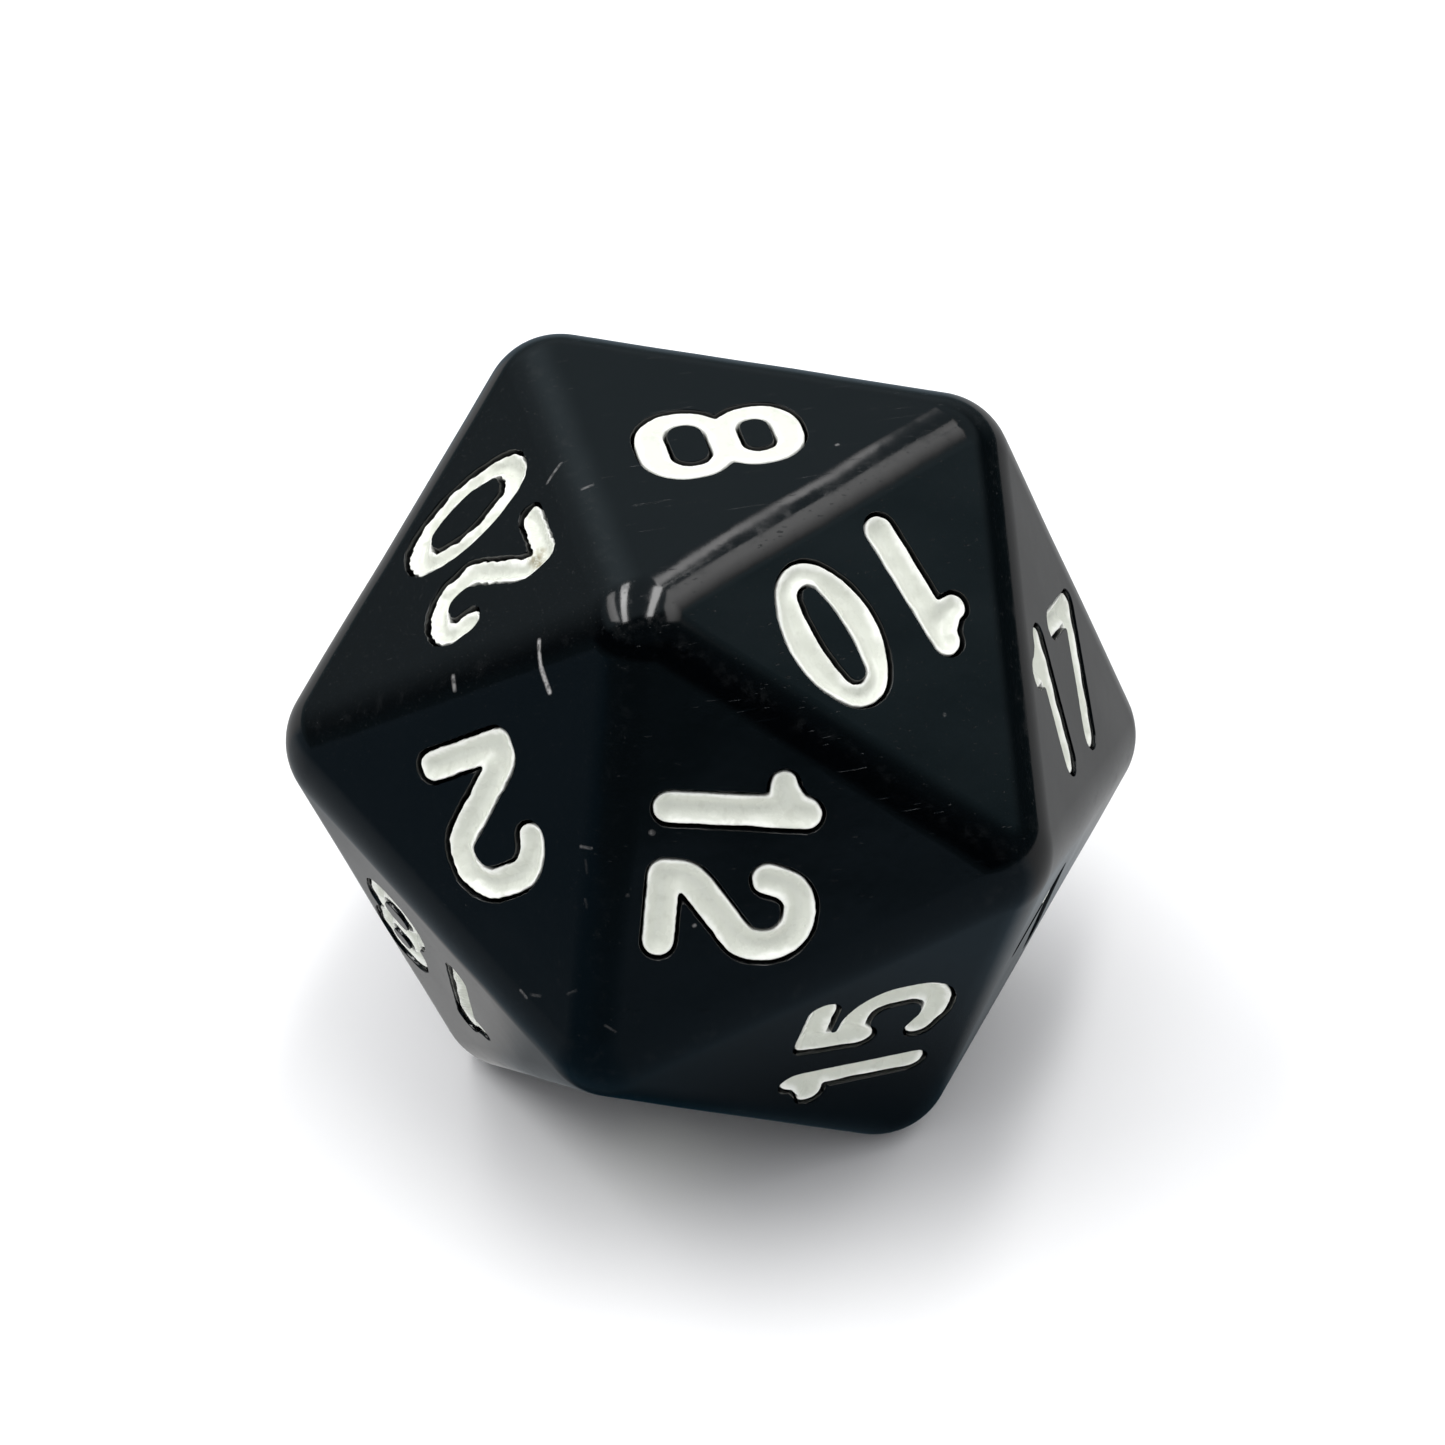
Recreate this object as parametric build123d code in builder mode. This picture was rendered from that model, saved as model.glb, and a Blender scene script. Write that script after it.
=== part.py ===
from build123d import *
from math import sqrt
from typing import NamedTuple
import os

os.makedirs("parts", exist_ok=True)

# A twenty-sided die: one moulded resin body with an engraved number on every
# face, and the paint that fills each number.  Millimetres.  The origin is the
# centre of the face that it rests on (number 13), +Z points out through the
# opposite face (number 8), and +X points to the top of that 8.

# ---------------------------------------------------------------- dimensions
ACROSS_FACES = 20.0  # between opposite faces
EDGE_RADIUS = 2.15  # rounding of every edge and corner
GROOVE_DEPTH = 0.45  # engraved numbers, below the face
PAINT_SINK = 0.12  # the paint's surface, below the face
PEN = 0.88  # width of an engraved stroke
THIN_PEN = 0.82  # flags and bars, as a share of the pen
SLOPE_PEN = 0.62  # from a 1's flag up to its head
ZERO_ENDS = 1.16  # top and bottom of a zero: this less 0.6 of the pen
OVAL_END = 0.74  # radius of an oval's ends, as a share of its half width
PEBBLE_ROUND = 0.47  # corner radius of loops and eyes, as a share of their width
FLAG_DROP = 0.62  # from the head of a 1 down to its flag
DIGIT_HEIGHT = 4.3
SINGLE_WIDTH = 2.9  # a digit that has the face to itself
PAIR_WIDTH = 2.6  # a digit that shares the face
ONE_WIDTH = 1.55
PAIR_GAP = 1.15  # between the two digits of a pair
SINGLE_BASE = -2.05  # the digits' foot, from the face's centre
PAIR_BASE = -2.7
DOT_RADIUS = 0.42  # after 6 and 9, to tell them apart
DOT_GAP = 1.7 * DOT_RADIUS  # from the digit to the dot's centre
TWO_HEEL = 0.18  # where a 2's slope ends, as a share of its height
TWO_HEEL_WIDE = 0.50  # in a wide 2 it is this less half of its width over its height
TWO_HEEL_BEND = 1.25  # of the heel's height
SEVEN_HEEL = 0.58  # from the right side to the top of a 7's leg, in pens
SEVEN_FOOT = 0.43  # the leg's foot, as a share of the width
SEVEN_STEP = 0.06  # from the bar's middle down to the top of the leg
LOOP = 0.60  # height of the closed loop of a 6 or 9, as a share of the digit
EIGHT_LOWER = 0.57  # the lower loop of an 8, as a share of its height
EIGHT_UPPER = 0.55
EIGHT_INSET = 0.06  # how much narrower the upper loop is, each side, of the width
EIGHT_SIDE = 0.80  # sides of an 8's loops, in pens
EIGHT_FOOT = 1.15  # under the lower eye, in pens
EIGHT_HEAD = 1.10  # over the upper eye, in pens
EIGHT_WAIST = 0.85  # over the lower eye, in pens
EIGHT_BRIDGE = 1.05  # under the upper eye, in pens

# ---------------------------------------------------------- the solid's layout
# Seen from above, the twelve corners lie in four rings: the top face's three
# corners, two belts of three, and the bottom face's three.
GOLDEN = (1 + sqrt(5)) / 2
FACE_DISTANCE = ACROSS_FACES / 2
RING = 2 * FACE_DISTANCE / GOLDEN**2
BELT_RING = RING * GOLDEN
BELT_HEIGHT = FACE_DISTANCE * (sqrt(5) - 2)


def corner(radius, angle, height):
    """One sharp corner of the solid, measured from the die's centre."""
    return Vector(radius, 0, FACE_DISTANCE + height).rotate(Axis.Z, angle)


CORNERS = {
    "A": corner(RING, 0, FACE_DISTANCE),
    "B": corner(RING, 120, FACE_DISTANCE),
    "C": corner(RING, 240, FACE_DISTANCE),
    "D": corner(BELT_RING, 60, BELT_HEIGHT),
    "E": corner(BELT_RING, 180, BELT_HEIGHT),
    "F": corner(BELT_RING, 300, BELT_HEIGHT),
    "G": corner(BELT_RING, 0, -BELT_HEIGHT),
    "H": corner(BELT_RING, 120, -BELT_HEIGHT),
    "I": corner(BELT_RING, 240, -BELT_HEIGHT),
    "J": corner(RING, 60, -FACE_DISTANCE),
    "K": corner(RING, 180, -FACE_DISTANCE),
    "L": corner(RING, 300, -FACE_DISTANCE),
}

# Each number's face, by its corners.  The number's top points to the first.
# Opposite faces add up to 21.
FACES = {
    1: "GJL",
    2: "ICE",
    3: "ADG",
    4: "KEH",
    5: "IKL",
    6: "DBH",
    7: "FLG",
    8: "ABC",
    9: "HJD",
    10: "FAC",
    11: "HJK",
    12: "FCI",
    13: "KJL",
    14: "HEB",
    15: "IFL",
    16: "DAB",
    17: "AFG",
    18: "KEI",
    19: "DJG",
    20: "EBC",
}

# Hand-cut numbers are not all alike.  These digits have their own boxes on the
# face: left, foot, width, height and pen.  The others follow the usual sizes.
OWN_BOXES = {
    2: [(-1.45, -2.15, 3.25, 4.27, 0.82)],
    8: [(-1.50, -2.03, 2.95, 4.48, 0.72)],
    10: [(-2.42, -2.72, 1.54, 4.18, 0.88), (0.25, -2.68, 2.75, 4.14, 0.90)],
    12: [(-2.52, -2.72, 1.58, 4.40, 0.88), (0.02, -2.70, 2.68, 4.45, 0.86)],
    15: [(-2.95, -2.70, 1.60, 4.25, 0.86), (-0.35, -2.75, 2.60, 4.38, 0.82)],
    17: [(-2.90, -2.45, 1.72, 4.12, 0.90), (-0.40, -2.45, 2.80, 4.10, 0.88)],
    18: [(-1.95, -1.60, 1.35, 4.30, 0.72), (0.55, -1.65, 2.30, 4.20, 0.72)],
    20: [(-2.50, -2.50, 2.28, 4.38, 0.70), (0.40, -2.55, 2.40, 4.40, 0.52)],
}


def face_plane(number):
    """The plane of a number's face: its centre, and Y to the number's top."""
    top, left, right = [CORNERS[name] for name in FACES[number]]
    centre = (top + left + right) * (1 / 3)
    outward = (centre - Vector(0, 0, FACE_DISTANCE)).normalized()
    return Plane(origin=centre, x_dir=(top - centre).cross(outward), z_dir=outward)


# ------------------------------------------------------------------ the digits
class DigitBox(NamedTuple):
    """Where a digit is drawn: lower left corner, size, and the pen's width."""

    x: float
    y: float
    w: float
    h: float
    pen: float

    def run(self, share):
        """A share of the pen's way across the box."""
        return share * (self.w - self.pen)

    def rise(self, share):
        """A share of the pen's way up the box."""
        return share * (self.h - self.pen)

    def at(self, shares):
        """The pen's places, by their shares of its way across and up the box."""
        left = self.x + self.pen / 2
        foot = self.y + self.pen / 2
        return [(left + self.run(across), foot + self.rise(up)) for across, up in shares]


def stroke(points, bends, pen):
    """A round-ended stroke along straight runs joined by tangent arcs."""
    with BuildLine() as path:
        if bends:
            FilletPolyline(*points, radius=bends)
        else:
            Line(*points)
    SlotArc(path.wire(), height=pen)


def pebble(x, y, w, h, mode=Mode.ADD):
    """A rectangle with its corners rounded almost to half circles."""
    with Locations((x + w / 2, y + h / 2)):
        RectangleRounded(w, h, PEBBLE_ROUND * min(w, h), mode=mode)


def loop(x, y, w, h, wall):
    """A closed loop of one thickness all round."""
    pebble(x, y, w, h)
    pebble(x + wall, y + wall, w - 2 * wall, h - 2 * wall, Mode.SUBTRACT)


def oval(x, y, w, h, mode=Mode.ADD):
    """An upright oval of four tangent arcs: two tight ends, two shallow sides."""
    half = w / 2
    end_radius = OVAL_END * half
    rise = h / 2 - end_radius
    side_radius = (half**2 + rise**2 - end_radius**2) / (2 * (half - end_radius))
    spread = side_radius - end_radius
    joint_x = end_radius * (side_radius - half) / spread
    joint_y = rise + end_radius * rise / spread
    with BuildLine() as outline:
        ThreePointArc((joint_x, -joint_y), (half, 0), (joint_x, joint_y))
        ThreePointArc((joint_x, joint_y), (0, h / 2), (-joint_x, joint_y))
        ThreePointArc((-joint_x, joint_y), (-half, 0), (-joint_x, -joint_y))
        ThreePointArc((-joint_x, -joint_y), (0, -h / 2), (joint_x, -joint_y))
    with Locations((x + half, y + h / 2)):
        add(Face(outline.wire()), mode=mode)


def zero(box):
    """A ring of two ovals; a slim zero has heavier ends."""
    x, y, w, h, pen = box
    end_wall = ZERO_ENDS - 0.6 * pen
    oval(x, y, w, h)
    oval(x + pen, y + end_wall, w - 2 * pen, h - 2 * end_wall, Mode.SUBTRACT)


def one(box):
    """A stem, a stubby flag, and the slope between the flag and the head."""
    foot, head = box.at([(1, 0), (1, 1)])
    joint = (head[0], head[1] - FLAG_DROP)
    tip = (box.x + box.pen * THIN_PEN / 2, joint[1])
    stroke([foot, head], [], box.pen)
    stroke([joint, tip], [], box.pen * THIN_PEN)
    stroke([head, tip], [], box.pen * SLOPE_PEN)


def two(box):
    heel = min(TWO_HEEL, TWO_HEEL_WIDE - 0.5 * box.w / box.h)
    path = box.at([(0, 0.75), (0.12, 1), (1, 1), (1, 0.61), (0, heel), (0, 0)])
    bowl = min(box.run(0.48), box.rise(0.26))
    bends = [box.run(0.40), bowl, box.rise(0.18), box.rise(TWO_HEEL_BEND * heel)]
    stroke(path, bends, box.pen)
    stroke(box.at([(0, 0), (1, 0)]), [], box.pen)


def three(box):
    upper = box.at([(0, 0.80), (0.15, 1), (0.95, 1), (0.95, 0.54), (0.35, 0.54)])
    lower = box.at([(0.45, 0.54), (1, 0.54), (1, 0), (0.15, 0), (0, 0.20)])
    stroke(upper, [box.run(0.40), box.run(0.34), box.run(0.34)], box.pen)
    stroke(lower, [box.run(0.42), box.run(0.42), box.run(0.40)], box.pen)


def four(box):
    head, corner, end, foot = box.at([(0.76, 1), (0, 0.24), (1, 0.24), (0.76, 0)])
    stroke([head, corner, end], [0], box.pen * THIN_PEN)
    stroke([foot, head], [], box.pen * THIN_PEN)


def five(box):
    top = [(0.93, 1), (0.07, 1), (0, 0.58), (0.22, 0.68)]
    bowl = [(1, 0.68), (1, 0), (0.30, 0), (-0.02, 0.08)]
    bends = [0, 0, box.run(0.30), box.run(0.54), box.run(0.54), box.run(0.25)]
    stroke(box.at(top + bowl), bends, box.pen)


def six(box):
    hook = box.at([(1, 0.80), (0.85, 1), (0, 1), (0, 0.25)])
    stroke(hook, [box.run(0.35), box.run(0.45)], box.pen)
    loop(box.x, box.y, box.w, LOOP * box.h, box.pen)


def seven(box):
    """A thin bar and a leg; the leg starts just under the bar's middle."""
    x, y, w, h, pen = box
    bar = y + h - pen * THIN_PEN / 2
    heel = x + w - SEVEN_HEEL * pen
    stroke([(x + pen * THIN_PEN / 2, bar), (heel, bar)], [], pen * THIN_PEN)
    stroke([(heel, bar - SEVEN_STEP), (x + SEVEN_FOOT * w, y + pen / 2)], [], pen)


def eight(box):
    """Two loops run together, the upper one narrower."""
    x, y, w, h, pen = box
    lower = EIGHT_LOWER * h
    upper = EIGHT_UPPER * h
    inset = EIGHT_INSET * w
    side = EIGHT_SIDE * pen
    lower_eye = lower - (EIGHT_FOOT + EIGHT_WAIST) * pen
    upper_eye = upper - (EIGHT_BRIDGE + EIGHT_HEAD) * pen
    pebble(x, y, w, lower)
    pebble(x + inset, y + h - upper, w - 2 * inset, upper)
    pebble(x + side, y + EIGHT_FOOT * pen, w - 2 * side, lower_eye, Mode.SUBTRACT)
    side = side + inset
    foot = y + h - upper + EIGHT_BRIDGE * pen
    pebble(x + side, foot, w - 2 * side, upper_eye, Mode.SUBTRACT)


def nine(box):
    hook = box.at([(0, 0.20), (0.15, 0), (1, 0), (1, 0.75)])
    stroke(hook, [box.run(0.35), box.run(0.45)], box.pen)
    loop(box.x, box.y + (1 - LOOP) * box.h, box.w, LOOP * box.h, box.pen)


DIGITS = {
    "0": zero,
    "1": one,
    "2": two,
    "3": three,
    "4": four,
    "5": five,
    "6": six,
    "7": seven,
    "8": eight,
    "9": nine,
}


def usual_boxes(number):
    """Boxes for digits at the usual size, side by side and centred."""
    digits = str(number)
    usual_width = SINGLE_WIDTH if len(digits) == 1 else PAIR_WIDTH
    widths = [ONE_WIDTH if digit == "1" else usual_width for digit in digits]
    if len(digits) == 1:
        return [DigitBox(-widths[0] / 2, SINGLE_BASE, widths[0], DIGIT_HEIGHT, PEN)]
    left = -(sum(widths) + PAIR_GAP) / 2
    right = left + widths[0] + PAIR_GAP
    return [
        DigitBox(left, PAIR_BASE, widths[0], DIGIT_HEIGHT, PEN),
        DigitBox(right, PAIR_BASE, widths[1], DIGIT_HEIGHT, PEN),
    ]


def draw_number(number):
    """Every digit of a number, and the dot after a 6 or 9."""
    if number in OWN_BOXES:
        boxes = [DigitBox(*sizes) for sizes in OWN_BOXES[number]]
    else:
        boxes = usual_boxes(number)
    for digit, box in zip(str(number), boxes):
        DIGITS[digit](box)
    if number in (6, 9):
        with Locations((boxes[0].x + boxes[0].w + DOT_GAP, boxes[0].y + DOT_RADIUS)):
            Circle(DOT_RADIUS)


# -------------------------------------------------- the engraving, as a cutter
with BuildPart() as engraving:
    for number in FACES:
        with BuildSketch(face_plane(number)):
            draw_number(number)
        extrude(amount=-GROOVE_DEPTH, clean=False)

# ------------------------------------------------------------------- die body
with BuildPart() as die_body:
    with Locations((0, 0, FACE_DISTANCE)):
        Box(2 * ACROSS_FACES, 2 * ACROSS_FACES, 2 * ACROSS_FACES)
    for number in FACES:
        split(bisect_by=face_plane(number), keep=Keep.BOTTOM)
    fillet(die_body.edges(), radius=EDGE_RADIUS)
    add(engraving.part, mode=Mode.SUBTRACT)

die_body.part.label = "die_body"
export_step(die_body.part, "parts/die_body.step")

# ---------------------------------------------------------------- number paint
for number in FACES:
    with BuildPart() as number_paint:
        with BuildSketch(face_plane(number).offset(-GROOVE_DEPTH)):
            draw_number(number)
        extrude(amount=GROOVE_DEPTH - PAINT_SINK)
    name = f"number_{number:02d}_paint"
    number_paint.part.label = name
    export_step(number_paint.part, f"parts/{name}.step")
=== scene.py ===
"""Looks of the twenty-sided die: polished black resin with sunk, hand-filled ivory numbers.

The CAD nodes give the outline of every number.  The body is built again as one
fine mesh with softened groove lips, and each number as a closed pool of paint.
Lengths are in mm, except where a comment says m.
"""

import math

import bmesh
import bpy
import numpy as np
from mathutils import Matrix, Vector
from mathutils.geometry import delaunay_2d_cdt


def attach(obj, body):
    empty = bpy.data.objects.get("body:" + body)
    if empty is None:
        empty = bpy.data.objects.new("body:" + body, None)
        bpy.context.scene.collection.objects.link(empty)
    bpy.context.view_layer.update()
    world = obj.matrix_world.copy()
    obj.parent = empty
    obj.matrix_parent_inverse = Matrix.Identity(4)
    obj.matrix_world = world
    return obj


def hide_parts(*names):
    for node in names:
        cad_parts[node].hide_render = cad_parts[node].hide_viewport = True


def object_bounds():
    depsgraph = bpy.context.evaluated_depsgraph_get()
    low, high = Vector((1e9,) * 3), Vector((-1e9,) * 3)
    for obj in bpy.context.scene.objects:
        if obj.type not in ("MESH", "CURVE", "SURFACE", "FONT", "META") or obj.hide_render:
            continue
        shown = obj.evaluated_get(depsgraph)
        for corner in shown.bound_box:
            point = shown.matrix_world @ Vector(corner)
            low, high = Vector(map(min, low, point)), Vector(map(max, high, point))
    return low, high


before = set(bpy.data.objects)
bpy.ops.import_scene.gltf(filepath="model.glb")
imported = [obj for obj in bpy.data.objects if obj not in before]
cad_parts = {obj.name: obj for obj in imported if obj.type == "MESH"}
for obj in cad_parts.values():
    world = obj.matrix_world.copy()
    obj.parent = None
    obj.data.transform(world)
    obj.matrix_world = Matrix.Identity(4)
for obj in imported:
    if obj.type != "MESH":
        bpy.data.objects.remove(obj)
cad_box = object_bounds()

MM = 0.001
ACROSS_FACES = (cad_box[1].z - cad_box[0].z) / MM
EDGE_RADIUS = 2.15
PAINT_SINK = 0.12  # the CAD paint's surface, below the face
SAME_LEVEL = 0.004  # how near that surface a CAD point has to lie to be on it
FLOOR_DEPTH = 0.45  # the grooves' floor, below the face

# ---------------------------------------------------------------- the icosahedron
GOLDEN = (1 + math.sqrt(5)) / 2
FACE_DISTANCE = ACROSS_FACES / 2
RING = 2 * FACE_DISTANCE / GOLDEN**2
BELT_RING = RING * GOLDEN
BELT_HEIGHT = FACE_DISTANCE * (math.sqrt(5) - 2)
CENTRE = np.array([0, 0, FACE_DISTANCE])


def corner(radius, angle, height):
    """A corner of the sharp icosahedron, from the die's centre."""
    a = math.radians(angle)
    return np.array([radius * math.cos(a), radius * math.sin(a), height])


CORNERS = {
    "A": corner(RING, 0, FACE_DISTANCE),
    "B": corner(RING, 120, FACE_DISTANCE),
    "C": corner(RING, 240, FACE_DISTANCE),
    "D": corner(BELT_RING, 60, BELT_HEIGHT),
    "E": corner(BELT_RING, 180, BELT_HEIGHT),
    "F": corner(BELT_RING, 300, BELT_HEIGHT),
    "G": corner(BELT_RING, 0, -BELT_HEIGHT),
    "H": corner(BELT_RING, 120, -BELT_HEIGHT),
    "I": corner(BELT_RING, 240, -BELT_HEIGHT),
    "J": corner(RING, 60, -FACE_DISTANCE),
    "K": corner(RING, 180, -FACE_DISTANCE),
    "L": corner(RING, 300, -FACE_DISTANCE),
}
# each number's face, by its corners: first the one that the number's top points to
FACES = {
    1: "GJL", 2: "ICE", 3: "ADG", 4: "KEH", 5: "IKL", 6: "DBH", 7: "FLG",
    8: "ABC", 9: "HJD", 10: "FAC", 11: "HJK", 12: "FCI", 13: "KJL", 14: "HEB",
    15: "IFL", 16: "DAB", 17: "AFG", 18: "KEI", 19: "DJG", 20: "EBC",
}  # fmt: skip
HALF_TURN = 0.3649  # radians: half the angle between the normals of two faces with an edge
EDGE_TURN = math.sin(HALF_TURN)
STEEPEST = 1e-6  # mm2, keeps slopes finite where a rounding turns vertical
SHRINK = (FACE_DISTANCE - EDGE_RADIUS) / FACE_DISTANCE  # to where the roundings' centres lie


class Facet:
    """One face: its axes, and heights over its plane."""

    def __init__(self, number):
        self.number = number
        self.names = FACES[number]
        sharp = [CORNERS[c] for c in self.names]
        middle = sum(sharp) / 3
        self.out = middle / np.linalg.norm(middle)
        up = sharp[0] - middle
        self.up = up / np.linalg.norm(up)
        self.across = np.cross(self.up, self.out)
        self.axes = np.array([self.across, self.up, self.out])
        self.origin = self.out * FACE_DISTANCE
        self.inner = np.array([self.axes[:2] @ (c * SHRINK) for c in sharp])

    def to_plane(self, points):
        """Points from the die's centre, in the face's own axes."""
        return (points - self.origin) @ self.axes.T

    def to_die(self, points):
        return points @ self.axes + self.origin

    def turn(self, directions):
        return directions @ self.axes

    def base(self, uv):
        """Height of the rounded face at uv, its slope, and how far round the edge it is."""
        gap = np.full(len(uv), np.inf)
        off = np.zeros((len(uv), 2))
        inside = np.ones(len(uv), bool)
        for i in range(3):
            a, b = self.inner[i], self.inner[(i + 1) % 3]
            side = b - a
            t = np.clip(((uv - a) @ side) / (side @ side), 0, 1)
            away = uv - a - t[:, None] * side
            distance = np.linalg.norm(away, axis=1)
            nearer = distance < gap
            gap = np.where(nearer, distance, gap)
            off = np.where(nearer[:, None], away, off)
            outward = np.array([side[1], -side[0]])
            outward *= np.sign(outward @ (a + b))
            inside &= (uv - a) @ outward <= 0
        gap = np.where(inside, 0, gap)
        off = np.where(inside[:, None], 0, off)
        root = np.sqrt(np.maximum(EDGE_RADIUS**2 - gap**2, STEEPEST))
        return root - EDGE_RADIUS, -off / root[:, None], gap / EDGE_RADIUS


FACETS = {n: Facet(n) for n in sorted(FACES)}


def slerp(a, b, t):
    angle = math.acos(max(-1, min(1, a @ b)))
    return (math.sin((1 - t) * angle) * a + math.sin(t * angle) * b) / math.sin(angle)


RUN_STEPS = 40  # along an edge
END_STEPS = 7  # from an edge's end to the corner's pole


def ridge(first, last):
    """Points along the middle of a rounded edge, pole to pole, the same from either side."""
    p, q = sorted((first, last))
    a, b = CORNERS[p] * SHRINK, CORNERS[q] * SHRINK
    middle = (a + b) / np.linalg.norm(a + b)
    pole_a, pole_b = a / np.linalg.norm(a), b / np.linalg.norm(b)
    rows = [a + EDGE_RADIUS * slerp(pole_a, middle, i / END_STEPS) for i in range(END_STEPS)]
    rows += [a + (b - a) * i / RUN_STEPS + EDGE_RADIUS * middle for i in range(RUN_STEPS)]
    rows += [b + EDGE_RADIUS * slerp(middle, pole_b, i / END_STEPS) for i in range(END_STEPS + 1)]
    rows = np.array(rows)
    return rows if (first, last) == (p, q) else rows[::-1]


# ---------------------------------------------------------------- the numbers' outlines
GRID = 0.04  # mm between samples of a distance field
MARGIN = 0.36  # of the field round a number
FAR = 9  # the field's value outside its grid
FAR_SIDE = 1.001  # samples: places end just inside the last cell
CHUNK = 1024  # points at a time, which keeps the arrays small
FLAT = 1e-12  # stands in for a level line's rise


def cap_loops(number):
    """The closed outlines of a number, read from the CAD paint's upper surface."""
    facet = FACETS[number]
    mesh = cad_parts[f"number_{number:02d}_paint"].data
    co = np.empty(len(mesh.vertices) * 3)
    mesh.vertices.foreach_get("co", co)
    local = facet.to_plane(co.reshape(-1, 3) / MM - CENTRE)
    corners = np.empty(len(mesh.loops), np.int32)
    mesh.loops.foreach_get("vertex_index", corners)
    tris = corners.reshape(-1, 3)
    on_cap = np.abs(local[:, 2] + PAINT_SINK) < SAME_LEVEL
    tris = tris[on_cap[tris].all(axis=1)]
    spots, same = np.unique(np.round(local[:, :2], 4), axis=0, return_inverse=True)
    same = same.ravel()
    seen = {}
    for tri in same[tris]:
        for i in range(3):
            edge = (tri[i], tri[(i + 1) % 3])
            seen[tuple(sorted(edge))] = seen.get(tuple(sorted(edge)), 0) + 1
    joined = {}
    for (a, b), times in seen.items():
        if times == 1:
            joined.setdefault(a, []).append(b)
            joined.setdefault(b, []).append(a)
    return [spots[loop] for loop in walk(joined)]


def walk(joined):
    """Closed walks through a graph whose places, the keys, have two neighbours each."""
    left, loops = set(joined), []
    for start in sorted(joined):
        if start not in left:
            continue
        loop, before, here = [start], None, start
        left.discard(start)
        while True:
            onward = [n for n in joined[here] if n != before and n in left]
            if not onward:
                break
            before, here = here, onward[0]
            left.discard(here)
            loop.append(here)
        if len(loop) > 2:
            loops.append(loop)
    return loops


def inside_loops(points, loops):
    """Which points lie inside an odd number of loops."""
    a = np.vstack(loops)
    b = np.vstack([np.roll(loop, -1, axis=0) for loop in loops])
    rise = b[:, 1] - a[:, 1]
    rise = np.where(np.abs(rise) < FLAT, FLAT, rise)
    found = np.zeros(len(points), bool)
    for i in range(0, len(points), CHUNK):
        x, y = points[i : i + CHUNK, :1], points[i : i + CHUNK, 1:2]
        spans = (a[:, 1] > y) != (b[:, 1] > y)
        left_of = x < a[:, 0] + (y - a[:, 1]) * (b[:, 0] - a[:, 0]) / rise
        found[i : i + CHUNK] = (spans & left_of).sum(axis=1) % 2 == 1
    return found


class Field:
    """Distance from a number's outline, below zero inside it, on a grid."""

    def __init__(self, loops):
        a = np.vstack(loops)
        b = np.vstack([np.roll(loop, -1, axis=0) for loop in loops])
        self.low = a.min(axis=0) - MARGIN
        size = np.ceil((a.max(axis=0) + MARGIN - self.low) / GRID).astype(int) + 1
        gx, gy = np.meshgrid(np.arange(size[0]), np.arange(size[1]), indexing="ij")
        points = self.low + GRID * np.stack([gx.ravel(), gy.ravel()], axis=1)
        run = b - a
        length = (run**2).sum(axis=1)
        distance = np.empty(len(points))
        for i in range(0, len(points), CHUNK):
            rel = points[i : i + CHUNK, None] - a
            t = np.clip((rel * run).sum(axis=2) / length, 0, 1)
            gap = ((rel - t[..., None] * run) ** 2).sum(axis=2)
            distance[i : i + CHUNK] = gap.min(axis=1)
        distance = np.sqrt(distance) * np.where(inside_loops(points, loops), -1, 1)
        self.values = soften(distance.reshape(size))
        self.points = points.reshape(size[0], size[1], 2)

    def at(self, uv, values=None):
        """The field at uv, or FAR outside its grid."""
        grid = self.values if values is None else values
        p = (uv - self.low) / GRID
        end = np.array(grid.shape) - FAR_SIDE
        out = ((p < 0) | (p > end)).any(axis=1)
        p = np.clip(p, 0, end)
        i, f = p.astype(int), p - p.astype(int)
        x, y = i[:, 0], i[:, 1]
        low = grid[x, y] * (1 - f[:, 0]) + grid[x + 1, y] * f[:, 0]
        high = grid[x, y + 1] * (1 - f[:, 0]) + grid[x + 1, y + 1] * f[:, 0]
        return np.where(out, FAR, low * (1 - f[:, 1]) + high * f[:, 1])

    def slope(self, uv):
        """Unit direction away from the number."""
        steps = ([GRID, 0], [0, GRID])
        g = np.stack([self.at(uv + step) - self.at(uv - step) for step in steps], axis=1)
        return g / np.maximum(np.linalg.norm(g, axis=1), 1e-9)[:, None]


SOFT_PASSES = 2
FEWEST = 8  # points in a loop
SHORTEST = 6  # a loop, in steps
TINY = 1e-9  # stands in for nought where a grid is divided by its own differences


def soften(grid):
    """Rounds the sharpest corners of a field a little."""
    for _ in range(SOFT_PASSES):
        padded = np.pad(grid, 1, mode="edge")
        grid = sum(padded[i : i + grid.shape[0], 1:-1] for i in range(3)) / 3
        padded = np.pad(grid, 1, mode="edge")
        grid = sum(padded[1:-1, i : i + grid.shape[1]] for i in range(3)) / 3
    return grid


def ripple(points, seed, sizes):
    """A smooth wandering value, about -1 to 1, the same for the same seed."""
    rng = np.random.default_rng(seed)
    total = 0
    for size in sizes:
        angle, phase = rng.uniform(0, 2 * math.pi, 2)
        along = points @ np.array([math.cos(angle), math.sin(angle)])
        total = total + np.sin(2 * math.pi * along / size + phase)
    return total / math.sqrt(len(sizes))


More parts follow.
